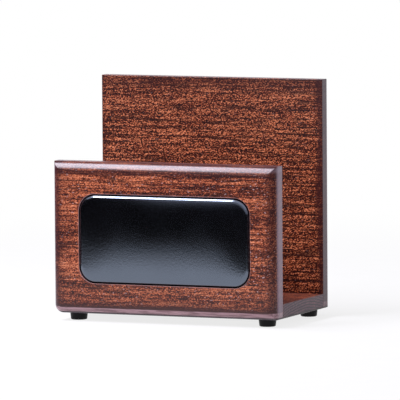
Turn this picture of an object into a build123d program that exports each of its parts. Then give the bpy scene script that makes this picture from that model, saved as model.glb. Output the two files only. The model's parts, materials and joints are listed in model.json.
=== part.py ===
"""Desk letter box: two upright wooden panels glued to a base board between them.

The front panel carries a padded leather inlay in a routed recess, and the body
stands on four tapered rubber feet. Millimetres, +Z up. The front faces -Y.
The origin is the centre of the footprint, on the surface the feet stand on.
"""

import os

from build123d import *

# Body
width = 152.0                 # all three boards, side to side
body_depth = 92.0             # outer face to outer face, without the crown of the inlay
panel_thickness = 12.5
front_height = 96.1           # front panel, without the feet
back_height = 145.5           # back panel, without the feet
base_thickness = 9.5
round_over = 6.0              # quarter round on the outer face of each panel
left_bottom_radius = 5.3      # the long lower left edge of the glued body, sanded round
right_bottom_radius = 1.8     # the long lower right edge, only softened
arris = 0.4                   # light easing of the panels' inner edges

# Dowels that join the base board to the panels
dowel_diameter = 5.0
dowel_length = 22.0
dowel_depth_in_panel = 7.5
dowel_from_side = 20.0        # each outer dowel's middle; a third one is midway
dowel_radial_clearance = 0.05
dowel_end_clearance = 0.5     # room for glue at each end
dowel_chamfer = 0.5

# Inlay: adhesive sheet, rigid backer, foam and a leather cover that wraps both
inlay_width = 114.8
inlay_height = 54.9
inlay_corner_radius = 10.1
inlay_shift = 0.8             # the inlay's middle, to the right of the panel's middle
inlay_drop = 0.2              # and below it
inlay_proud = 1.8             # how far the crown of the leather stands out
recess_depth = 4.0
recess_clearance = 0.8        # gap between the leather and the wall of the recess
recess_easing = 0.3
leather_thickness = 1.0
foam_roll_radius = 0.6        # rolled edge round the front of the foam
crown_height = 1.0            # fall of the padded front from its middle to where the crown ends
crown_overrun = 2.0           # the crown ends this far past the inlay's upper and lower edge
wrap_clearance = 0.3          # between the cover's skirt and what it wraps
inlay_adhesive_thickness = 0.3
backer_thickness = 2.0

# Feet: tapered rubber bumpers on adhesive discs
foot_height = 4.5
foot_top_diameter = 11.2
foot_bottom_diameter = 10.2
foot_edge_radius = 0.8
foot_adhesive_thickness = 0.3
foot_adhesive_diameter = 10.4
foot_from_side = 12.0
front_foot_from_front = 14.2
rear_foot_from_back = 13.5
front_right_foot_shift = 0.8  # the feet on the right are stuck on a little nearer the side
rear_right_foot_shift = 2.5

# Places that follow from the sizes above
slot_gap = body_depth - 2 * panel_thickness
board_bottom = foot_height + foot_adhesive_thickness
front_face = -(body_depth + inlay_proud) / 2 + inlay_proud
slot_front = front_face + panel_thickness
slot_back = slot_front + slot_gap
back_face = slot_back + panel_thickness
base_top = board_bottom + base_thickness
dowel_height = board_bottom + base_thickness / 2
outer_dowel_x = width / 2 - dowel_from_side
dowel_places = {"left": -outer_dowel_x, "middle": 0.0, "right": outer_dowel_x}
dowel_hole_radius = dowel_diameter / 2 + dowel_radial_clearance
panel_hole_depth = dowel_depth_in_panel + dowel_end_clearance
base_hole_depth = dowel_length - dowel_depth_in_panel + dowel_end_clearance
inlay_middle = board_bottom + front_height / 2 - inlay_drop
recess_floor = front_face + recess_depth
backer_back = recess_floor - inlay_adhesive_thickness
backer_front = backer_back - backer_thickness
cover_front = front_face - inlay_proud
cover_inside = cover_front + leather_thickness
cover_roll_radius = foam_roll_radius + leather_thickness
foot_x = width / 2 - foot_from_side
front_foot_y = front_face + front_foot_from_front
rear_foot_y = back_face - rear_foot_from_back
foot_places = {
    "front_left": (-foot_x, front_foot_y),
    "front_right": (foot_x + front_right_foot_shift, front_foot_y),
    "rear_left": (-foot_x, rear_foot_y),
    "rear_right": (foot_x + rear_right_foot_shift, rear_foot_y),
}

FORWARD = (0, -1, 0)
BACKWARD = (0, 1, 0)

os.makedirs("parts", exist_ok=True)


def upright(y):
    """The vertical plane at y. Its own x and y run along X and Z."""
    return Plane.XZ.offset(-y)


def save(piece, label):
    """Name a finished piece and write its STEP file."""
    piece.part.label = label
    export_step(piece.part, "parts/" + label + ".step")


def board_outline(height, right_radius=0):
    """A board's front view, standing on the plane of the body's underside."""
    with Locations((0, board_bottom)):
        Rectangle(width, height, align=(Align.CENTER, Align.MIN))
    fillet(vertices().group_by(Axis.Y)[0].sort_by(Axis.X)[0], radius=left_bottom_radius)
    if right_radius:
        fillet(vertices().group_by(Axis.Y)[0].sort_by(Axis.X)[-1], radius=right_radius)


def inlay_outline(inset):
    """The inlay's rounded rectangle, drawn in by inset (out, where negative)."""
    with Locations((inlay_shift, inlay_middle)):
        RectangleRounded(
            inlay_width - 2 * inset, inlay_height - 2 * inset, inlay_corner_radius - inset
        )


def crowned_block(back, front, inset, roll_radius):
    """The inlay's outline from back to front, with a crowned front and a rolled edge."""
    low = inlay_middle - inlay_height / 2 + inset - crown_overrun
    high = inlay_middle + inlay_height / 2 - inset + crown_overrun
    edge = front + crown_height
    with BuildPart() as block:
        with BuildSketch(upright(back)):
            inlay_outline(inset)
        extrude(amount=back - front, dir=FORWARD)
        with BuildSketch(Plane.YZ.offset(-width / 2)):
            with BuildLine():
                ThreePointArc((edge, low), (front, inlay_middle), (edge, high))
                Polyline((edge, high), (back, high), (back, low), (edge, low))
            make_face()
        extrude(amount=width, mode=Mode.INTERSECT)
        fillet(faces().sort_by(Axis.Y)[0].edges(), radius=roll_radius)
    return block.part


def dowel_holes(face_y, into, hole_depth):
    """Cut the three dowel holes into an upright face."""
    with BuildSketch(upright(face_y)) as holes:
        with Locations([(x, dowel_height) for x in dowel_places.values()]):
            Circle(dowel_hole_radius)
    extrude(holes.sketch, amount=hole_depth, dir=into, mode=Mode.SUBTRACT)


def ease_inner_edges(inner_face):
    """Break the top and side edges of a panel's inner face."""
    rim = inner_face.outer_wire().edges()
    fillet([edge for edge in rim if edge.center().Z > base_top], radius=arris)


# ---- Front panel: round-over towards the front, recess for the inlay
with BuildPart() as front_panel:
    with BuildSketch(upright(slot_front)):
        board_outline(front_height)
    extrude(amount=panel_thickness, dir=FORWARD)
    fillet(faces().sort_by(Axis.Y)[0].edges(), radius=round_over)
    with BuildSketch(upright(slot_front)):
        board_outline(front_height, right_bottom_radius)
    extrude(amount=panel_thickness, dir=FORWARD, mode=Mode.INTERSECT)
    ease_inner_edges(faces().sort_by(Axis.Y)[-1])
    with BuildSketch(upright(front_face)):
        inlay_outline(-recess_clearance)
    extrude(amount=recess_depth, dir=BACKWARD, mode=Mode.SUBTRACT)
    recess_rim = faces().sort_by(Axis.Y)[0].inner_wires()[0].edges()
    chamfer(recess_rim, length=recess_easing)
    dowel_holes(slot_front, FORWARD, panel_hole_depth)
save(front_panel, "front_panel")

# ---- Back panel: the same board, taller, turned to face the rear
with BuildPart() as back_panel:
    with BuildSketch(upright(slot_back)):
        board_outline(back_height)
    extrude(amount=panel_thickness, dir=BACKWARD)
    fillet(faces().sort_by(Axis.Y)[-1].edges(), radius=round_over)
    with BuildSketch(upright(slot_back)):
        board_outline(back_height, right_bottom_radius)
    extrude(amount=panel_thickness, dir=BACKWARD, mode=Mode.INTERSECT)
    ease_inner_edges(faces().sort_by(Axis.Y)[0])
    dowel_holes(slot_back, BACKWARD, panel_hole_depth)
save(back_panel, "back_panel")

# ---- Base board: fills the space between the panels, flush with their sides
with BuildPart() as base_board:
    with BuildSketch(upright(slot_front)):
        board_outline(base_thickness, right_bottom_radius)
    extrude(amount=slot_gap, dir=BACKWARD)
    dowel_holes(slot_front, BACKWARD, base_hole_depth)
    dowel_holes(slot_back, FORWARD, base_hole_depth)
save(base_board, "base_board")

# ---- Dowels: each lies partly in a panel and partly in the base board
for joint_name, joint_face, into_base in (
    ("front", slot_front, 1),
    ("rear", slot_back, -1),
):
    for side, x in dowel_places.items():
        panel_end = joint_face - into_base * dowel_depth_in_panel
        with BuildPart() as dowel:
            with BuildSketch(upright(panel_end)):
                with Locations((x, dowel_height)):
                    Circle(dowel_diameter / 2)
            extrude(amount=dowel_length, dir=(0, into_base, 0))
            chamfer(dowel.edges().filter_by(GeomType.CIRCLE), length=dowel_chamfer)
        save(dowel, joint_name + "_dowel_" + side)

# ---- Inlay adhesive: thin sheet on the floor of the recess
with BuildPart() as inlay_adhesive:
    with BuildSketch(upright(recess_floor)):
        inlay_outline(0)
    extrude(amount=inlay_adhesive_thickness, dir=FORWARD)
save(inlay_adhesive, "inlay_adhesive")

# ---- Inlay backer: rigid board inside the leather cover
with BuildPart() as inlay_backer:
    with BuildSketch(upright(backer_back)):
        inlay_outline(leather_thickness + wrap_clearance)
    extrude(amount=backer_thickness, dir=FORWARD)
save(inlay_backer, "inlay_backer")

# ---- Inlay foam: crowned pad in front of the backer
with BuildPart() as inlay_foam:
    foam_inset = leather_thickness + wrap_clearance
    add(crowned_block(backer_front, cover_inside + wrap_clearance, foam_inset, foam_roll_radius))
save(inlay_foam, "inlay_foam")

# ---- Leather inlay: crowned cover with a rolled edge and a skirt down to the adhesive
with BuildPart() as leather_inlay:
    add(crowned_block(backer_back, cover_front, 0, cover_roll_radius))
    hollow = crowned_block(backer_back, cover_inside, leather_thickness, foam_roll_radius)
    add(hollow, mode=Mode.SUBTRACT)
save(leather_inlay, "leather_inlay")

# ---- Feet: a tapered bumper and its adhesive disc under each corner
for corner, place in foot_places.items():
    with BuildPart() as foot:
        with BuildSketch(Plane.XY):
            with Locations(place):
                Circle(foot_bottom_diameter / 2)
        with BuildSketch(Plane.XY.offset(foot_height)):
            with Locations(place):
                Circle(foot_top_diameter / 2)
        loft()
        fillet(foot.edges().group_by(Axis.Z)[0], radius=foot_edge_radius)
    save(foot, "foot_" + corner)

    with BuildPart() as foot_adhesive:
        with BuildSketch(Plane.XY.offset(foot_height)):
            with Locations(place):
                Circle(foot_adhesive_diameter / 2)
        extrude(amount=foot_adhesive_thickness)
    save(foot_adhesive, "foot_adhesive_" + corner)
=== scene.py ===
"""Looks of the desk letter box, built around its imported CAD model.

Metres, in the model's own frame: the front faces -Y, and the floor is at z = 0.
"""

import json
import math

import bmesh
import bpy
from mathutils import Matrix, Vector

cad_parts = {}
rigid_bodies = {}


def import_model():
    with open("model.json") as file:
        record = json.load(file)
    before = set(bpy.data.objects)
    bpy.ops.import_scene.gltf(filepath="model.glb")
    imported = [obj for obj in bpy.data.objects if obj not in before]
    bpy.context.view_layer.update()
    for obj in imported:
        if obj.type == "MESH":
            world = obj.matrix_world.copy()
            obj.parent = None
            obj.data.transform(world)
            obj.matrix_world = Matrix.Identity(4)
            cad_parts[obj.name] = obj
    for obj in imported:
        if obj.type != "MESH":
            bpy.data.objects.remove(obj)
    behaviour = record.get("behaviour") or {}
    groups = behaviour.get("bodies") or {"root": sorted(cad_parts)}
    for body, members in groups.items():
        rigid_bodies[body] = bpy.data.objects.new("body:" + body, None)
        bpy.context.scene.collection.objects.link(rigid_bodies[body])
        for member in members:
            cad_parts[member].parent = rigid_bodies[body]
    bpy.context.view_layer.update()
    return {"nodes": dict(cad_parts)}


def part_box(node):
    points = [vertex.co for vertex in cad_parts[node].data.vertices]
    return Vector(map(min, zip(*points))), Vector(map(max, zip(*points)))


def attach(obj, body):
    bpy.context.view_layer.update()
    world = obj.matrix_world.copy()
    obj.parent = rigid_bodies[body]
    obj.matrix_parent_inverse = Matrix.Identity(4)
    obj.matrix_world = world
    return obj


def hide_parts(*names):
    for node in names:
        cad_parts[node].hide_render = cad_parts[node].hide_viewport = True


# Camera, in the photograph's square frame
CAMERA_AZIMUTH = math.radians(23.043)
CAMERA_ELEVATION = math.radians(4.949)
CAMERA_ROLL = math.radians(-0.389)
CAMERA_DISTANCE = 3.997
CAMERA_LENS = 568.8           # millimetres
CAMERA_SENSOR = 36.0          # millimetres across
CAMERA_REACH = 100.0          # nothing further away is drawn
CAMERA_AIM_RIGHT = 0.00588    # where the middle of the picture looks, from the origin
CAMERA_AIM_UP = 0.07439

# Leather pad: an upholstered cover with a two-way crown
PAD_CORNER = 0.0101           # radius of its outline's corners
PAD_ROLL = 0.0019             # radius of the rolled front edge
PAD_ROLL_SHARE = 0.93         # share of a quarter turn that the roll goes through
PAD_SKIN = 0.001              # thickness of the leather
PAD_CROWN = 0.0010            # how far its middle stands before the edge of its front
PAD_EDGE_SHARE = 0.35         # share of the crown that falls close to the edge
PAD_EDGE_REACH = 0.0035
PAD_CORNER_STEPS = 12
PAD_SIDE_STEPS = 24
PAD_ROLL_STEPS = 8
PAD_FRONT_STEPS = 36
PAD_MERGE = 1e-6              # points nearer than this become one
SWELL_STEP = 0.0024           # spacing of the simulated cover's points
SWELL_FRAMES = 24
SWELL_PRESSURE = 4.0
SWELL_QUALITY = 10
SWELL_AIR_DAMPING = 10.0
SWELL_DAMPING = 25.0          # of its stretch and its shear

# Stained wood. A noise layer's scale is along X, Y and Z.
GRID_TURN = (0.55, 0.80, 0.35)        # keeps the noise lattice off the faces' own axes
SEED_SHIFT = (1.0, 0.7, 1.3)          # a board's figure is moved by this times its seed
FIGURE = (                    # layers of the figure, coarse to fine: scale; detail
    ((14, 45, 45), 2.0),          # broad patches
    ((9, 210, 210), 3.0),         # streaks along the grain
    ((45, 850, 850), 1.0),        # bundles of fibre
    ((780, 1500, 1500), 0.5),     # single fibres
    ((1450, 1750, 1750), 0.0),    # mottle
)
SWAY = ((5, 30, 30), 2.0)             # how the grain wanders: scale; detail
LINES = ((7, 130, 130), 3.0)          # long grain lines run where this is near its middle
RING_BREAKS = ((60, 260, 260), 3.0, 0.36, 0.56)       # scale; detail; none below; full above
PORES = ((140, 1200, 1200), 1.0, 0.60, 0.68)
FLECKS = ((650, 1250, 1250), 0.0, 0.745, 0.79)
LOW_REFLECTION_PATCHES = ((90, 700, 700), 2.0, 0.34, 0.60)
LOW_REFLECTION_LEAST = 0.45              # how much of the painted reflection shows between the patches
LINE_WIDTH = (0.018, 0.004)   # how near: no line, and a full one
LINE_WEIGHT = 0.75
PORE_WEIGHT = 0.85
RING_SWAY = 2.0               # how far the sway moves the rings, in rings,
STAIN_AND_SHADE_SWAY = 0.006            # and the edges of the stain and painted shade, in metres
LATE_WOOD_FULL = 0.90         # shares of a ring
LATE_WOOD_ENDS = 0.94
MARKS_ACROSS = (0.020, 0.060, 0.6, 1.0)   # from, to along X: weight up to there, and beyond
END_FACES = (0.90, 0.995)     # the X of a normal on a face, and on an end
END_WEIGHT = 0.75             # how much of the ends' colour, with its painted lilac reflection, shows
TOP_HIGHLIGHT_START = (0.0006, 0.0016)  # the painted highlight starts this far below the upper edge,
TOP_HIGHLIGHT_ENDS = (0.0048, 0.0026)     # and is gone or still full this far below it
LOW_REFLECTION_HEIGHT = 0.0045             # how far up the painted reflection reaches on the lower edges
LOW_REFLECTION_FADE = 0.0002
EDGE_ROUNDED = (0.955, 0.940)         # the Y of a normal on a face, and on a rounded edge
LACQUER_SHADE_FACING = (-0.93, -0.80)       # the Z of a normal with no lacquer and full painted shade, and with all lacquer and no shade
LACQUER_SHADE_LOWEST = (0.0011, 0.0018)     # the height above the lower edge, likewise
FLAT_BELOW = (-0.97, -0.995)          # the Z of a normal at the lowest edge, and underneath
SHOWN_BELOW = (0.1, 0.5)              # how much of the wood's colour shows there under the painted shade
INLAY_REACH = (0.0022, 0.0014)        # outside and inside the recess, from the inlay's edge
EASING_DEPTH = (0.0, 0.00005)         # the recess is eased this far behind the front,
EASING_ENDS = (0.0010, 0.0006)        # and no further than this
WALL_DEPTH = (0.0002, 0.0005)         # its wall starts this far behind the front,
WALL_ENDS = (0.0055, 0.0050)          # and ends here
WOOD_TONES = (                # dark to light
    (0.0, (0.008, 0.0012, 0.0015)),
    (0.25, (0.020, 0.0030, 0.0030)),
    (0.375, (0.065, 0.0090, 0.0050)),
    (0.50, (0.165, 0.029, 0.0110)),
    (0.625, (0.340, 0.079, 0.029)),
    (0.75, (0.560, 0.155, 0.065)),
    (1.0, (0.860, 0.300, 0.140)),
)
MARK_COLOUR = (0.022, 0.0045, 0.004, 1)
FLECK_COLOUR = (0.620, 0.420, 0.420, 1)
# stain, and painted shade at the rounded side edges
STAIN_AND_SHADE_COLOUR = (0.040, 0.0065, 0.0075, 1)
END_RING_COLOUR = (0.016, 0.008, 0.014, 1)
# painted highlight along the upper edge
TOP_HIGHLIGHT_COLOUR = (0.320, 0.240, 0.300, 1)
# painted reflection round the lower edges
LOW_REFLECTION_COLOUR = (0.400, 0.240, 0.260, 1)
# painted highlight on the recess's eased edge
EASING_HIGHLIGHT_COLOUR = (0.480, 0.250, 0.230, 1)
# painted shade on the recess's wall
WALL_SHADE_COLOUR = (0.004, 0.002, 0.002, 1)
# painted shade at the lowest edge and underneath
BELOW_SHADE_COLOUR = (0.008, 0.003, 0.004, 1)
DUST_COLOUR = (0.85, 0.70, 1.0, 1.0)

# Each board's look: "growth", the place of the pith, (y, z), the spacing of the growth rings
# and where their late wood starts; "rings" and "end_rings", how dark they are on the faces and
# on the ends; "tone" and "figure", the middle of the figure and the weights of its layers;
# "flecks", how pale the filled pores are; "end", the colour of the end grain, tinted lilac by a
# painted reflection; "stain_and_shade", where it is darker, with painted shade at the rounded
# side edges: (edge, full within, gone beyond, amount); "coat" and "sheen", the weights of the
# lacquer and of the dust on it; "top_highlight" and "low_reflection", how strong the painted
# highlight along the upper edge and the painted reflection round the lower edges are.
BOARDS = {
    "front_panel": {
        "growth": ((0.020, -0.060), 0.0034, 0.72),
        "rings": 0.65,
        "end_rings": 0.15,
        "tone": 0.545,
        "figure": (0.55, 0.60, 0.80, 0.82, 0.75),
        "flecks": 0.8,
        "end": (0.240, 0.140, 0.195),
        "stain_and_shade": (
            # the right and left ones are painted shade on the rounded side edges
            ("right", 0.003, 0.010, 0.55),
            ("left", 0.0040, 0.0075, 0.70),
            ("left", 0.0040, 0.0180, 0.30),
            ("bottom", 0.010, 0.034, 0.20),
            ("bottom", 0.006, 0.013, 0.35),
            ("bottom", 0.005, 0.0085, 0.90),
            ("top", 0.0068, 0.0086, 0.60),
        ),
        "coat": 0.6,
        "sheen": 0.15,
        "top_highlight": 0.35,
        "low_reflection": 0.95,
    },
    "back_panel": {
        "growth": ((0.110, -0.090), 0.0044, 0.72),
        "rings": 1.00,
        "end_rings": 0.2,
        "tone": 0.495,
        "figure": (0.20, 0.30, 0.95, 1.45, 1.60),
        "flecks": 0.2,
        "end": (0.080, 0.040, 0.058),
        "stain_and_shade": (
            ("right", 0.002, 0.005, 0.80),
            ("left", 0.000, 0.004, 0.40),
            ("top", 0.002, 0.010, 0.50),
            ("top", 0.008, 0.040, 0.18),
        ),
        "coat": 0.30,
        "sheen": 0.05,
        "top_highlight": 0.0,
        "low_reflection": 0.6,
    },
    "base_board": {
        "growth": ((0.004, -0.150), 0.0017, 0.40),
        "rings": 0.50,
        "end_rings": 1.0,
        "tone": 0.475,
        "figure": (0.45, 0.30, 0.50, 1.00, 0.80),
        "flecks": 0.2,
        "end": (0.095, 0.046, 0.080),
        "stain_and_shade": (),
        "coat": 0.2,
        "sheen": 0.06,
        "top_highlight": 0.0,
        "low_reflection": 0.0,
    },
}
BOARD_SEED = (0.4, 1.7)       # the first board's seed, and the step to the next

# Studio
SOFTBOX_LEFT = 0.40           # sine of its bearing to the left
SOFTBOX_PITCH = math.radians(67.5)      # above the front, about the left-right axis
SOFTBOX_DISTANCE = 1.1
SOFTBOX_SIZE = (0.26, 1.05)
SOFTBOX_RADIANCE = 18.0
COOL_WHITE = (0.96, 0.94, 1.03)
AMBIENT = 0.35
FLOOR_SIZE = 12.0
SHADOW_NEAR = 0.25            # the floor keeps the shadow up to here, and fades to white
SHADOW_FAR = 0.80
SHADOW_HIDDEN = 0.8           # the share of the shadow that is hidden even near the object
FLAG_FRONT = 0.27
FLAG_SIDE = 0.26
FLAG_LEFT_END = 0.1           # how far back the left one reaches
FLAG_HEIGHT = 0.20
FLAG_FADE = (-0.010, 0.033)   # the flags darken between these heights
FLAG_DROPS = (                # from, to along X, and how much lower they darken beyond
    (-0.065, -0.025, 0.012),
    (-0.135, -0.155, 0.006),
)
FLAG_THIN = (0.075, 0.120)    # they thin out again between these heights,
FLAG_THIN_ACROSS = (-0.125, -0.095)   # but not left of here
FLAG_THINNED = 0.55           # the share that is gone where they are thinnest
CEILING_HEIGHT = 0.60
CEILING_FRONT = 0.10
CEILING_BACK = 1.0


# ---------------------------------------------------------------- node helpers
class Graph:
    """Short calls that build one node tree."""

    def __init__(self, tree):
        self.tree = tree
        tree.nodes.clear()

    def feed(self, socket, source):
        """Link source to a socket, or set the socket where source is a plain value."""
        if isinstance(source, bpy.types.NodeSocket):
            self.tree.links.new(source, socket)
        else:
            socket.default_value = source

    def add(self, kind, inputs, output=0, **settings):
        """One node; inputs maps socket names or numbers to sources. Returns an output."""
        node = self.tree.nodes.new("ShaderNode" + kind)
        for name, setting in settings.items():
            setattr(node, name, setting)
        for key, source in inputs.items():
            self.feed(node.inputs[key], source)
        return node.outputs[output]

    def math(self, operation, a, b=0.0):
        return self.add("Math", {0: a, 1: b}, operation=operation)

    def place(self):
        """The point's own place in the model's frame, in metres."""
        return self.add("TexCoord", {}, output="Object")

    def split(self, vector):
        """X, Y and Z of a vector."""
        node = self.tree.nodes.new("ShaderNodeSeparateXYZ")
        self.feed(node.inputs[0], vector)
        return node.outputs[0], node.outputs[1], node.outputs[2]

    def join(self, x, y, z):
        return self.add("CombineXYZ", {0: x, 1: y, 2: z})

    def length(self, vector):
        return self.add("VectorMath", {0: vector}, output="Value", operation="LENGTH")

    def sum_of_product(self, a, b, c):
        """a times b, plus c."""
        return self.add("Math", {0: a, 1: b, 2: c}, operation="MULTIPLY_ADD")

    def scaled(self, vector, scale, offset=(0.0, 0.0, 0.0), turn=GRID_TURN):
        """The vector scaled along its axes, then turned, then offset."""
        inputs = {"Vector": vector, "Scale": scale, "Rotation": turn, "Location": offset}
        return self.add("Mapping", inputs)

    def noise(self, vector, scale=1.0, detail=3.0, roughness=0.5, distortion=0.0):
        inputs = {
            "Vector": vector,
            "Scale": scale,
            "Detail": detail,
            "Roughness": roughness,
            "Distortion": distortion,
        }
        return self.add("TexNoise", inputs)

    def layer(self, vector, scale, detail):
        """Noise over the scaled vector, as in FIGURE."""
        return self.noise(self.scaled(vector, scale), detail=detail)

    def patches(self, vector, layer, to_low=0.0, to_high=1.0):
        """Noise with a smooth step between the layer's two levels, as in PORES."""
        scale, detail, low, high = layer
        return self.step(self.layer(vector, scale, detail), low, high, to_low, to_high)

    def step(self, value, low, high, to_low=0.0, to_high=1.0):
        """Smooth step of value from low to high, mapped to to_low..to_high."""
        inputs = {0: value, 1: low, 2: high, 3: to_low, 4: to_high}
        return self.add("MapRange", inputs, interpolation_type="SMOOTHSTEP")

    def ramp(self, value, stops):
        """Colour ramp; stops are (position, colour)."""
        node = self.tree.nodes.new("ShaderNodeValToRGB")
        self.feed(node.inputs[0], value)
        elements = node.color_ramp.elements
        while len(elements) < len(stops):
            elements.new(0.5)
        for element, (position, colour) in zip(elements, stops):
            element.position = position
            element.color = (*colour, 1.0)
        return node.outputs[0]

    def blend(self, factor, a, b):
        """Colour mix of a and b."""
        return self.add("Mix", {0: factor, 6: a, 7: b}, output=2, data_type="RGBA")

    def bump(self, height, distance, strength):
        return self.add("Bump", {"Height": height, "Distance": distance, "Strength": strength})

    def surface(self, **sockets):
        """Principled surface; socket names have _ for each space."""
        inputs = {name.replace("_", " "): source for name, source in sockets.items()}
        shader = self.add("BsdfPrincipled", inputs)
        self.add_output(shader)

    def add_output(self, shader):
        node = self.tree.nodes.new("ShaderNodeOutputMaterial")
        self.feed(node.inputs[0], shader)


def new_material(name):
    """An empty material and its graph."""
    material = bpy.data.materials.new(name)
    material.use_nodes = True
    return material, Graph(material.node_tree)


def dress(node, material):
    """Give a CAD node its material."""
    for slot in frame["nodes"][node].material_slots:
        slot.material = material


# ---------------------------------------------------------------- stained wood
class BoardPoint:
    """Where a point of a board is, and how its surface faces, as sockets."""

    def __init__(self, g, low, high, seed):
        """low and high are the board's corners; the seed moves its figure."""
        place = g.place()
        self.x, self.y, self.z = g.split(place)
        offset = tuple(seed * shift for shift in SEED_SHIFT)
        self.shifted = g.scaled(place, (1, 1, 1), offset, turn=(0.0, 0.0, 0.0))
        normal = g.add("NewGeometry", {}, output="Normal")
        normal_x, self.normal_y, self.normal_z = g.split(normal)
        self.end_grain = g.step(g.math("ABSOLUTE", normal_x), *END_FACES)
        self.sway = g.math("SUBTRACT", g.layer(self.shifted, *SWAY), 0.5)
        self.inside = {
            "left": g.math("SUBTRACT", self.x, low[0]),
            "right": g.math("SUBTRACT", high[0], self.x),
            "bottom": g.math("SUBTRACT", self.z, low[2]),
            "top": g.math("SUBTRACT", high[2], self.z),
        }


def figure_tone(g, point, middle, weights):
    """Tone of the bare figure: the layers of FIGURE, each with its weight."""
    tone = middle
    for weight, (scale, detail) in zip(weights, FIGURE):
        layer = g.math("SUBTRACT", g.layer(point.shifted, scale, detail), 0.5)
        tone = g.sum_of_product(layer, weight, tone)
    return tone


def growth_rings(g, point, pith, spacing, late):
    """0 to 1 lines of late wood, round a pith that runs along X at (y, z).

    The late wood starts at the share late of each ring.
    """
    ring_y = g.math("SUBTRACT", point.y, pith[0])
    ring_z = g.math("SUBTRACT", point.z, pith[1])
    radius = g.length(g.join(0.0, ring_y, ring_z))
    sway = g.math("MULTIPLY", point.sway, RING_SWAY)
    ring = g.math("FRACT", g.sum_of_product(radius, 1 / spacing, sway))
    return g.math("MULTIPLY", g.step(ring, late, LATE_WOOD_FULL),
                  g.step(ring, 1.0, LATE_WOOD_ENDS))


def grain_marks(g, point, rings, pores):
    """0 to 1 dark marks of the faces: broken late wood, long grain lines and pores."""
    late_wood = g.math("MULTIPLY", rings, g.patches(point.shifted, RING_BREAKS))
    from_middle = g.math("SUBTRACT", g.layer(point.shifted, *LINES), 0.5)
    line = g.step(g.math("ABSOLUTE", from_middle), *LINE_WIDTH)
    marks = g.math("MAXIMUM", g.math("MULTIPLY", line, LINE_WEIGHT),
                   g.math("MULTIPLY", pores, PORE_WEIGHT))
    return g.math("MAXIMUM", marks, late_wood)


def marked_faces(g, colour, point, rings, pores, look):
    """Dark marks and pale filled pores. The rings and the pale pores are weaker on the left."""
    to_right = g.step(point.x, *MARKS_ACROSS)
    rings_shown = g.math("MULTIPLY", g.math("MULTIPLY", rings, look["rings"]), to_right)
    colour = g.blend(grain_marks(g, point, rings_shown, pores), colour, MARK_COLOUR)
    flecks = g.patches(point.shifted, FLECKS, 0.0, look["flecks"])
    return g.blend(g.math("MULTIPLY", flecks, to_right), colour, FLECK_COLOUR)


def edge_stain_and_shade(g, colour, point, dark_edges):
    """Darker towards the edges of a face; at the rounded side edges this darkening is painted
    shade.
    """
    sway = g.math("MULTIPLY", point.sway, STAIN_AND_SHADE_SWAY)
    for edge, near, far, amount in dark_edges:
        distance = g.math("ADD", point.inside[edge], sway)
        darkened = g.step(distance, far, near, 0.0, amount)
        colour = g.blend(darkened, colour, STAIN_AND_SHADE_COLOUR)
    return colour


def end_colour(g, colour, point, rings, look):
    """The ends have a colour of their own, tinted lilac by a painted reflection, with the growth
    rings across it.
    """
    end = g.math("MULTIPLY", point.end_grain, END_WEIGHT)
    colour = g.blend(end, colour, (*look["end"], 1))
    shown = g.math("MULTIPLY", point.end_grain, look["end_rings"])
    return g.blend(g.math("MULTIPLY", rings, shown), colour, END_RING_COLOUR)


def painted_edge_light(g, colour, point, look):
    """Painted highlight along the upper edge and, in patches, painted reflection round the lower
    edges.
    """
    top, bottom = point.inside["top"], point.inside["bottom"]
    top_highlight = g.math("MULTIPLY", g.step(top, *TOP_HIGHLIGHT_START, 0.0, look["top_highlight"]),
                  g.step(top, *TOP_HIGHLIGHT_ENDS))
    colour = g.blend(top_highlight, colour, TOP_HIGHLIGHT_COLOUR)
    rounded = g.step(g.math("ABSOLUTE", point.normal_y), *EDGE_ROUNDED)
    low, high = LOW_REFLECTION_HEIGHT - LOW_REFLECTION_FADE, LOW_REFLECTION_HEIGHT + LOW_REFLECTION_FADE
    reflected = g.math("MULTIPLY", rounded, g.step(bottom, high, low, 0.0, look["low_reflection"]))
    reflected = g.math("MULTIPLY", reflected, g.patches(point.shifted, LOW_REFLECTION_PATCHES, LOW_REFLECTION_LEAST))
    return g.blend(reflected, colour, LOW_REFLECTION_COLOUR)


def near_inlay(g, x, z):
    """1 over the inlay and its recess, and 0 further out, seen from the front."""
    low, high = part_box("leather_inlay")
    across = g.math("ABSOLUTE", g.math("SUBTRACT", x, (low.x + high.x) / 2))
    along = g.math("ABSOLUTE", g.math("SUBTRACT", z, (low.z + high.z) / 2))
    over_x = g.math("SUBTRACT", across, (high.x - low.x) / 2)
    over_z = g.math("SUBTRACT", along, (high.z - low.z) / 2)
    return g.step(g.math("MAXIMUM", over_x, over_z), *INLAY_REACH)


def recess_edges(g, colour, point, front):
    """Painted highlight where the recess is eased at the front, and painted shade on its wall
    inside.
    """
    inlay = near_inlay(g, point.x, point.z)
    deep = g.math("SUBTRACT", point.y, front)
    eased_highlight = g.math("MULTIPLY", g.step(deep, *EASING_DEPTH), g.step(deep, *EASING_ENDS))
    colour = g.blend(g.math("MULTIPLY", eased_highlight, inlay), colour, EASING_HIGHLIGHT_COLOUR)
    wall_shade = g.math("MULTIPLY", g.step(deep, *WALL_DEPTH), g.step(deep, *WALL_ENDS))
    return g.blend(g.math("MULTIPLY", wall_shade, inlay), colour, WALL_SHADE_COLOUR)


def lacquered_unshaded(g, point):
    """1 where the lacquer is and there is no painted shade: not underneath, nor at the lowest
    edge.
    """
    return g.math("MINIMUM", g.step(point.normal_z, *LACQUER_SHADE_FACING),
                  g.step(point.inside["bottom"], *LACQUER_SHADE_LOWEST))


def shade_below(g, colour, point, lacquer_unshaded):
    """Painted shade: nearly black at the lowest edge, and less dark underneath."""
    below = g.step(point.normal_z, *FLAT_BELOW, *SHOWN_BELOW)
    return g.blend(g.math("MAXIMUM", lacquer_unshaded, below), BELOW_SHADE_COLOUR, colour)


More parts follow.
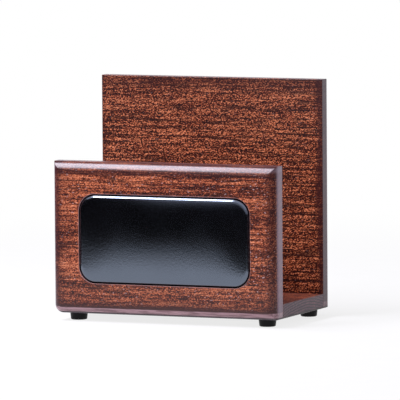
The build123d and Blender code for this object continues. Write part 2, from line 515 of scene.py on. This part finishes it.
def stained_wood(name, low, high, look, seed):
    """Mahogany-stained board with its grain along X and a satin lacquer.

    low and high are the board's corners. BOARDS says what its look holds.
    """
    material, g = new_material(name)
    point = BoardPoint(g, low, high, seed)
    tone = figure_tone(g, point, look["tone"], look["figure"])
    rings = growth_rings(g, point, *look["growth"])
    pores = g.patches(point.shifted, PORES)
    colour = marked_faces(g, g.ramp(tone, WOOD_TONES), point, rings, pores, look)
    colour = edge_stain_and_shade(g, colour, point, look["stain_and_shade"])
    colour = end_colour(g, colour, point, rings, look)
    colour = painted_edge_light(g, colour, point, look)
    if name.endswith("front_panel"):
        colour = recess_edges(g, colour, point, low[1])
    lacquer_unshaded = lacquered_unshaded(g, point)
    colour = shade_below(g, colour, point, lacquer_unshaded)
    height = g.math("SUBTRACT", g.math("MULTIPLY", tone, 0.5), pores)
    g.surface(
        Base_Color=colour,
        Roughness=g.step(tone, 0.35, 0.70, 0.46, 0.38),
        IOR=1.5,
        Specular_IOR_Level=0.22,
        Sheen_Weight=look["sheen"],
        Sheen_Roughness=0.4,
        Sheen_Tint=DUST_COLOUR,
        Normal=g.bump(height, 0.00002, 0.5),
        Coat_Weight=g.math("MULTIPLY", lacquer_unshaded, look["coat"]),
        Coat_Roughness=0.22,
        Coat_IOR=1.45,
        Coat_Normal=g.bump(height, 0.000006, 0.5),
    )
    return material


# ---------------------------------------------------------------- other materials
def black_leather():
    """Smooth finished black leather with a very fine pebble grain."""
    material, g = new_material("black_leather")
    place = g.place()
    pebble = g.add("TexVoronoi", {"Vector": place, "Scale": 1500.0}, output="Distance",
                   feature="SMOOTH_F1")
    crease = g.noise(place, scale=800.0, detail=3.0, roughness=0.6)
    wave = g.noise(place, scale=45.0, detail=2.0)
    height = g.math("ADD", g.math("MULTIPLY", pebble, 0.3), crease)
    tone = g.ramp(crease, [
        (0.30, (0.0010, 0.0010, 0.0014)),
        (0.70, (0.0030, 0.0030, 0.0042)),
    ])
    g.surface(
        Base_Color=tone,
        Roughness=g.step(wave, 0.3, 0.7, 0.11, 0.145),
        IOR=1.9,
        Specular_IOR_Level=1.0,
        Specular_Tint=(0.66, 0.78, 1.0, 1.0),
        Normal=g.bump(height, 0.000060, 0.5),
        Coat_Weight=1.0,
        Coat_Roughness=0.25,
        Coat_IOR=1.2,
        Coat_Normal=g.bump(height, 0.000050, 0.5),
    )
    return material


def rubber():
    """Moulded black rubber with a matt, faintly dusty skin."""
    material, g = new_material("rubber")
    place = g.place()
    skin = g.noise(place, scale=2600.0, detail=3.0, roughness=0.6)
    dust = g.noise(place, scale=300.0, detail=4.0, roughness=0.6)
    tone = g.ramp(dust, [
        (0.35, (0.0020, 0.0020, 0.0026)),
        (0.75, (0.0055, 0.0055, 0.0068)),
    ])
    g.surface(
        Base_Color=tone,
        Roughness=g.step(dust, 0.3, 0.7, 0.40, 0.52),
        Specular_IOR_Level=0.2,
        Normal=g.bump(skin, 0.00004, 0.5),
    )
    return material


def dowel_wood():
    """Plain beech, with its grain along the dowel."""
    material, g = new_material("dowel_wood")
    place = g.place()
    fibre = g.layer(place, (1500, 60, 1500), 3.0)
    flecks = g.patches(place, ((900, 220, 900), 1.0, 0.62, 0.70), 0.0, 0.5)
    tone = g.ramp(fibre, [(0.3, (0.50, 0.33, 0.19)), (0.7, (0.68, 0.50, 0.32))])
    tone = g.blend(flecks, tone, (0.30, 0.17, 0.09, 1))
    g.surface(Base_Color=tone, Roughness=g.step(fibre, 0.3, 0.7, 0.75, 0.6),
              Normal=g.bump(fibre, 0.00005, 0.6))
    return material


def foam():
    """Open-cell upholstery foam."""
    material, g = new_material("foam")
    cells = g.add("TexVoronoi", {"Vector": g.place(), "Scale": 1800.0}, output="Distance")
    tone = g.ramp(cells, [(0.1, (0.10, 0.10, 0.11)), (0.6, (0.30, 0.30, 0.31))])
    g.surface(Base_Color=tone, Roughness=g.step(cells, 0.0, 1.0, 0.95, 0.8),
              Normal=g.bump(cells, 0.0002, 0.8))
    return material


def backer_board():
    """Grey pressed board with short fibres."""
    material, g = new_material("backer_board")
    fibre = g.noise(g.scaled(g.place(), (500, 3000, 1600)), detail=4.0, distortion=0.6)
    tone = g.ramp(fibre, [(0.3, (0.20, 0.18, 0.15)), (0.7, (0.36, 0.33, 0.29))])
    g.surface(Base_Color=tone, Roughness=g.step(fibre, 0.3, 0.7, 0.9, 0.75),
              Normal=g.bump(fibre, 0.00008, 0.6))
    return material


def adhesive():
    """Thin sheet of acrylic adhesive, with trapped bubbles."""
    material, g = new_material("adhesive")
    bubbles = g.add("TexVoronoi", {"Vector": g.place(), "Scale": 700.0}, output="Distance")
    cloud = g.noise(g.place(), scale=260.0, detail=3.0)
    tone = g.ramp(cloud, [(0.3, (0.42, 0.40, 0.34)), (0.7, (0.60, 0.58, 0.50))])
    g.surface(Base_Color=tone, Roughness=g.step(bubbles, 0.1, 0.4, 0.25, 0.45),
              Normal=g.bump(bubbles, 0.00005, 0.5))
    return material


# ---------------------------------------------------------------- leather pad
def rounded_outline(half_width, half_height, radius):
    """Points (x, z) of a rounded rectangle round its middle, anticlockwise."""
    points = []
    corners = ((1, 1), (-1, 1), (-1, -1), (1, -1))
    for index, (side, end) in enumerate(corners):
        centre_x = side * (half_width - radius)
        centre_z = end * (half_height - radius)
        start = index * math.pi / 2
        for k in range(PAD_CORNER_STEPS + 1):
            turn = start + k / PAD_CORNER_STEPS * math.pi / 2
            points.append((centre_x + radius * math.cos(turn),
                           centre_z + radius * math.sin(turn)))
        near_x, near_z = points[-1]
        next_side, next_end = corners[(index + 1) % len(corners)]
        far_turn = start + math.pi / 2
        far_x = next_side * (half_width - radius) + radius * math.cos(far_turn)
        far_z = next_end * (half_height - radius) + radius * math.sin(far_turn)
        for k in range(1, PAD_SIDE_STEPS):
            share = k / PAD_SIDE_STEPS
            points.append((near_x + (far_x - near_x) * share,
                           near_z + (far_z - near_z) * share))
    return points


def edge_inset(x, z, half_width, half_height):
    """How far a point of the front, x and z from its middle, lies inside the outline."""
    over_x = abs(x) - (half_width - PAD_CORNER)
    over_z = abs(z) - (half_height - PAD_CORNER)
    outside = math.hypot(max(over_x, 0.0), max(over_z, 0.0))
    return PAD_CORNER - outside - min(max(over_x, over_z), 0.0)


def cover_sheet(half_width, half_height):
    """A flat sheet over the pad's front. Returns it and its numbers of rows and columns."""
    columns = 2 * round(half_width / SWELL_STEP)
    rows = 2 * round(half_height / SWELL_STEP)
    mesh = bmesh.new()
    grid = [[mesh.verts.new((half_width * (2 * i / columns - 1), 0.0,
                             half_height * (2 * j / rows - 1)))
             for i in range(columns + 1)] for j in range(rows + 1)]
    for low_row, high_row in zip(grid, grid[1:]):
        for i in range(columns):
            mesh.faces.new((low_row[i], low_row[i + 1], high_row[i + 1], high_row[i]))
    data = bpy.data.meshes.new("cover_sheet")
    mesh.to_mesh(data)
    mesh.free()
    sheet = bpy.data.objects.new("cover_sheet", data)
    bpy.context.scene.collection.objects.link(sheet)
    return sheet, rows + 1, columns + 1


def add_cloth(sheet, half_width, half_height):
    """Make the sheet a cloth, pinned along the rounded outline, that pressure swells."""
    pinned = sheet.vertex_groups.new(name="pinned")
    pinned.add([point.index for point in sheet.data.vertices
                if edge_inset(point.co.x, point.co.z, half_width, half_height) < SWELL_STEP / 4],
               1.0, "REPLACE")
    cloth = sheet.modifiers.new("cloth", "CLOTH")
    cloth.settings.quality = SWELL_QUALITY
    cloth.settings.vertex_group_mass = pinned.name
    cloth.settings.use_pressure = True
    cloth.settings.uniform_pressure_force = SWELL_PRESSURE
    cloth.settings.effector_weights.gravity = 0.0
    cloth.settings.air_damping = SWELL_AIR_DAMPING
    cloth.settings.tension_damping = SWELL_DAMPING
    cloth.settings.compression_damping = SWELL_DAMPING
    cloth.settings.shear_damping = SWELL_DAMPING
    cloth.collision_settings.use_collision = False
    cloth.point_cache.frame_start = 1
    cloth.point_cache.frame_end = SWELL_FRAMES


def simulate_swell(half_width, half_height):
    """Rows of heights, 0 to 1, of the cover swollen by pressure between its pinned edges."""
    sheet, rows, columns = cover_sheet(half_width, half_height)
    add_cloth(sheet, half_width, half_height)
    scene = bpy.context.scene
    for frame_number in range(1, SWELL_FRAMES + 1):     # each frame starts from the last
        scene.frame_set(frame_number)
        swollen = sheet.evaluated_get(bpy.context.evaluated_depsgraph_get())
    heights = [-point.co.y for point in swollen.data.vertices]
    scene.frame_set(1)
    data = sheet.data
    bpy.data.objects.remove(sheet)
    bpy.data.meshes.remove(data)
    highest = max(heights)
    return [[height / highest for height in heights[row * columns:(row + 1) * columns]]
            for row in range(rows)]


def spline_weights(share):
    """Weights of four neighbours in a uniform cubic B-spline."""
    rest = 1 - share
    return (rest ** 3 / 6, (3 * share ** 3 - 6 * share ** 2 + 4) / 6,
            (3 * rest ** 3 - 6 * rest ** 2 + 4) / 6, share ** 3 / 6)


def swell_at(heights, x, z, half_width, half_height):
    """The simulated height at x and z, on the smooth surface through its subdivided points."""
    across = (x / half_width + 1) / 2 * (len(heights[0]) - 1)
    along = (z / half_height + 1) / 2 * (len(heights) - 1)
    column, row = min(int(across), len(heights[0]) - 2), min(int(along), len(heights) - 2)
    total = 0.0
    for j, row_weight in enumerate(spline_weights(along - row)):
        line = heights[min(max(row + j - 1, 0), len(heights) - 1)]
        for i, weight in enumerate(spline_weights(across - column)):
            total += row_weight * weight * line[min(max(column + i - 1, 0), len(line) - 1)]
    return total


def crown_fall(swell, inset):
    """How far the padded front lies behind its highest point, where the swell is 0 to 1."""
    edge = math.exp(-inset / PAD_EDGE_REACH)
    return PAD_CROWN * ((1 - PAD_EDGE_SHARE) * (1 - swell) + PAD_EDGE_SHARE * edge)


def pad_rings(mesh, low, high):
    """Loops of the cover's points: the skirt, the rolled edge, and the front to its middle."""
    centre = (low + high) / 2
    half_width = (high.x - low.x) / 2
    half_height = (high.z - low.z) / 2
    heights = simulate_swell(half_width, half_height)

    def ring(inset, behind=None):
        """One loop of points, inset from the edge; without behind it lies on the skirt."""
        radius = max(PAD_CORNER * (1 - inset / half_height), 0.0)
        loop = []
        for x, z in rounded_outline(half_width - inset, half_height - inset, radius):
            depth = high.y
            if behind is not None:
                swell = swell_at(heights, x, z, half_width, half_height)
                crowned = crown_fall(swell, max(inset, PAD_ROLL))
                depth = low.y + crowned + behind
            loop.append(mesh.verts.new((centre.x + x, depth, centre.z + z)))
        return loop

    rings = [ring(0.0)]
    for k in range(PAD_ROLL_STEPS + 1):
        turn = k / PAD_ROLL_STEPS * math.pi / 2 * PAD_ROLL_SHARE
        rings.append(ring(PAD_ROLL * (1 - math.cos(turn)), PAD_ROLL * (1 - math.sin(turn))))
    for k in range(1, PAD_FRONT_STEPS + 1):
        rings.append(ring(PAD_ROLL + (half_height - PAD_ROLL) * k / PAD_FRONT_STEPS, 0.0))
    return rings


def make_pad():
    """The leather cover: skirt, rolled edge and crowned front, with the skin's thickness."""
    mesh = bmesh.new()
    rings = pad_rings(mesh, *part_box("leather_inlay"))
    for outer, inner in zip(rings, rings[1:]):
        for i in range(len(outer)):
            j = (i + 1) % len(outer)
            mesh.faces.new((outer[i], outer[j], inner[j], inner[i]))
    bmesh.ops.remove_doubles(mesh, verts=mesh.verts, dist=PAD_MERGE)
    bmesh.ops.recalc_face_normals(mesh, faces=mesh.faces)
    data = bpy.data.meshes.new("leather_pad")
    mesh.to_mesh(data)
    mesh.free()
    data.shade_smooth()
    cover = bpy.data.objects.new("leather_pad", data)
    bpy.context.scene.collection.objects.link(cover)
    skin = cover.modifiers.new("skin", "SOLIDIFY")
    skin.thickness = PAD_SKIN
    skin.offset = -1.0
    return cover


# ---------------------------------------------------------------- studio
def make_camera():
    """The camera that took the photograph."""
    level = math.cos(CAMERA_ELEVATION)
    back = Vector((math.sin(CAMERA_AZIMUTH) * level, -math.cos(CAMERA_AZIMUTH) * level,
                   math.sin(CAMERA_ELEVATION)))
    right = Vector((math.cos(CAMERA_AZIMUTH), math.sin(CAMERA_AZIMUTH), 0.0))
    up = back.cross(right)
    place = right * CAMERA_AIM_RIGHT + up * CAMERA_AIM_UP + back * CAMERA_DISTANCE
    rolled_right = right * math.cos(CAMERA_ROLL) + up * math.sin(CAMERA_ROLL)
    rolled_up = up * math.cos(CAMERA_ROLL) - right * math.sin(CAMERA_ROLL)
    data = bpy.data.cameras.new("camera")
    data.lens = CAMERA_LENS
    data.sensor_width = CAMERA_SENSOR
    data.clip_end = CAMERA_REACH
    camera = bpy.data.objects.new("camera", data)
    turn = Matrix((rolled_right, rolled_up, back)).transposed()
    camera.matrix_world = Matrix.Translation(place) @ turn.to_4x4()
    bpy.context.scene.collection.objects.link(camera)
    bpy.context.scene.camera = camera


def plane(name, corners):
    """A flat stage piece with these four corners."""
    data = bpy.data.meshes.new(name)
    data.from_pydata(corners, [], [(0, 1, 2, 3)])
    piece = bpy.data.objects.new(name, data)
    bpy.context.scene.collection.objects.link(piece)
    return piece


def level_corners(half_width, near, far, height):
    """Corners of a level rectangle, from near to far along Y."""
    return [(-half_width, near, height), (half_width, near, height),
            (half_width, far, height), (-half_width, far, height)]


def upright_corners(start, end):
    """Corners of a flag that stands between two points (x, y) of the floor."""
    return [(*start, 0), (*end, 0), (*end, FLAG_HEIGHT), (*start, FLAG_HEIGHT)]


def seen_directly(g):
    """1 for camera, glossy and transmission rays, which show the white background."""
    rays = g.tree.nodes.new("ShaderNodeLightPath").outputs
    glossy = g.math("MAXIMUM", rays["Is Glossy Ray"], rays["Is Transmission Ray"])
    return g.math("MAXIMUM", rays["Is Camera Ray"], glossy)


def make_floor():
    """White floor that keeps the object's soft shadow, and can be looked through from below."""
    half = FLOOR_SIZE / 2
    floor = plane("floor", level_corners(half, -half, half, 0))
    material, g = new_material("floor")
    paper = g.noise(g.place(), scale=60.0, detail=2.0)
    tone = g.ramp(paper, [(0.3, (0.86, 0.86, 0.88)), (0.7, (0.90, 0.90, 0.92))])
    lit = g.add("BsdfDiffuse", {"Color": tone})
    white = g.add("Emission", {"Color": (1, 1, 1, 1), "Strength": 1.0})
    away = g.length(g.place())
    white_share = g.step(away, SHADOW_NEAR, SHADOW_FAR, SHADOW_HIDDEN, 1.0)
    share = g.math("MULTIPLY", seen_directly(g), white_share)
    shader = g.add("MixShader", {0: share, 1: lit, 2: white})
    underside = g.add("NewGeometry", {}, output="Backfacing")
    clear = g.add("BsdfTransparent", {})
    g.add_output(g.add("MixShader", {0: underside, 1: shader, 2: clear}))
    floor.data.materials.append(material)


def make_flags():
    """Black flags round the front, the sides and overhead, seen only in the gloss."""
    material, g = new_material("flag")
    black = g.add("BsdfDiffuse", {"Color": (0.0, 0.0, 0.0, 1.0)})
    clear = g.add("BsdfTransparent", {})
    across, _, height = g.split(g.place())
    drops = [g.step(across, start, end, 0.0, drop) for start, end, drop in FLAG_DROPS]
    dark = g.step(g.math("ADD", height, g.math("ADD", *drops)), *FLAG_FADE)
    thin = g.math("MULTIPLY", g.step(height, *FLAG_THIN), g.step(across, *FLAG_THIN_ACROSS))
    dark = g.math("MULTIPLY", dark, g.sum_of_product(thin, -FLAG_THINNED, 1.0))
    g.add_output(g.add("MixShader", {0: dark, 1: clear, 2: black}))
    front_left, front_right = (-FLAG_SIDE, -FLAG_FRONT), (FLAG_SIDE, -FLAG_FRONT)
    walls = {
        "flag_front": upright_corners(front_left, front_right),
        "flag_right": upright_corners(front_right, (FLAG_SIDE, 0)),
        "flag_left": upright_corners(front_left, (-FLAG_SIDE, FLAG_LEFT_END)),
        "flag_over": level_corners(CEILING_BACK, CEILING_FRONT, CEILING_BACK, CEILING_HEIGHT),
    }
    for name, corners in walls.items():
        flag = plane(name, corners)
        flag.data.materials.append(material)
        flag.visible_camera = False
        flag.visible_diffuse = False
        flag.visible_shadow = False
        flag.visible_transmission = False


def make_softbox():
    """One tall soft lamp, in front, to the left and above."""
    level = math.sqrt(1 - SOFTBOX_LEFT ** 2)
    ahead, high = math.cos(SOFTBOX_PITCH), math.sin(SOFTBOX_PITCH)
    toward = Vector((-SOFTBOX_LEFT, -level * ahead, level * high))
    upward = Vector((0.0, high, ahead))
    data = bpy.data.lights.new("softbox", "AREA")
    data.shape = "RECTANGLE"
    data.size, data.size_y = SOFTBOX_SIZE
    data.color = COOL_WHITE
    data.energy = SOFTBOX_RADIANCE * math.pi * data.size * data.size_y
    lamp = bpy.data.objects.new("softbox", data)
    turn = Matrix((upward.cross(toward), upward, toward)).transposed()
    lamp.matrix_world = Matrix.Translation(toward * SOFTBOX_DISTANCE) @ turn.to_4x4()
    lamp.visible_camera = False
    bpy.context.scene.collection.objects.link(lamp)


def make_world():
    """White where it is seen, and a plain soft fill everywhere else."""
    world = bpy.data.worlds.new("world")
    world.use_nodes = True
    g = Graph(world.node_tree)
    strength = g.math("MAXIMUM", seen_directly(g), AMBIENT)
    rays = g.tree.nodes.new("ShaderNodeLightPath").outputs
    colour = g.blend(rays["Is Camera Ray"], (*COOL_WHITE, 1.0), (1.0, 1.0, 1.0, 1.0))
    shader = g.add("Background", {"Color": colour, "Strength": strength})
    node = g.tree.nodes.new("ShaderNodeOutputWorld")
    g.feed(node.inputs[0], shader)
    bpy.context.scene.world = world


# ---------------------------------------------------------------- making
for leftover in list(bpy.data.objects):
    bpy.data.objects.remove(leftover)
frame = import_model()
bpy.context.scene.view_settings.view_transform = "Standard"
make_camera()

first_seed, seed_step = BOARD_SEED
for index, (board, look) in enumerate(BOARDS.items()):
    seed = seed_step * index + first_seed
    dress(board, stained_wood("stained_" + board, *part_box(board), look, seed))
shared = {
    "dowel_wood": dowel_wood(),
    "foam": foam(),
    "backer_board": backer_board(),
    "adhesive": adhesive(),
    "rubber": rubber(),
    "black_leather": black_leather(),
}
for name in frame["nodes"]:
    if "adhesive" in name:
        dress(name, shared["adhesive"])
    elif "dowel" in name:
        dress(name, shared["dowel_wood"])
    elif name.startswith("foot_"):
        dress(name, shared["rubber"])
dress("inlay_foam", shared["foam"])
dress("inlay_backer", shared["backer_board"])
dress("leather_inlay", shared["black_leather"])

pad = make_pad()
pad.data.materials.append(shared["black_leather"])
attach(pad, "root")
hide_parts("leather_inlay")

make_floor()
make_flags()
make_softbox()
make_world()
